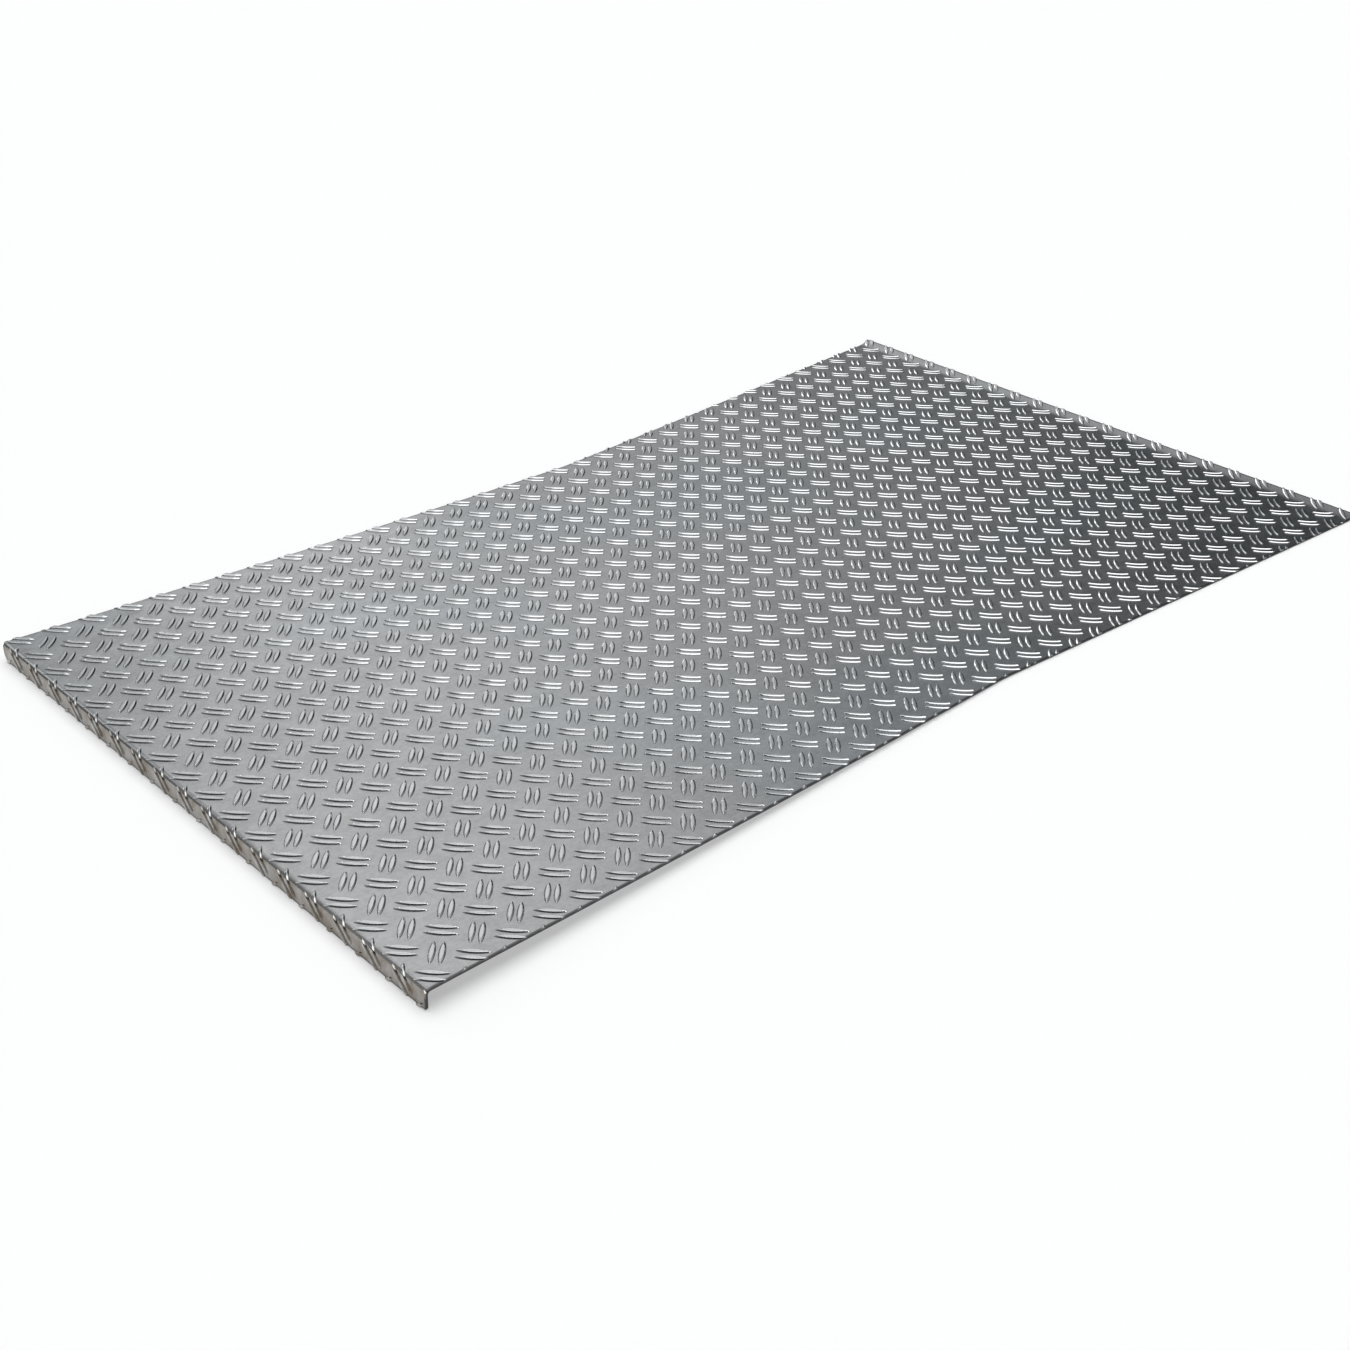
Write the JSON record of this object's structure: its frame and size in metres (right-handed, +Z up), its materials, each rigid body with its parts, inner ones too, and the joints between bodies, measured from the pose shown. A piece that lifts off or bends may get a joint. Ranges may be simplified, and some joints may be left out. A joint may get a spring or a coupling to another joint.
{
  "type": "shaped checker plate",
  "caption": "Checker plate sheet with raised paired bars, a down-turned flange across its narrow end, sides that flare to a wider end and a soft upturned lip there.",
  "frame": {"origin": "middle of the plate's bounding box, on the ground it lies on", "axes": "+X along the plate from its flange to its lip, +Y across it, +Z up out of its patterned face"},
  "size_m": [1.55, 0.88, 0.023],
  "materials": {
    "plate": "bare mill-finish rolled steel, satin, with raised bars polished slightly brighter at their crests"
  },
  "bodies": {
    "root": {"checker_plate": "plate"}
  },
  "joints": []
}
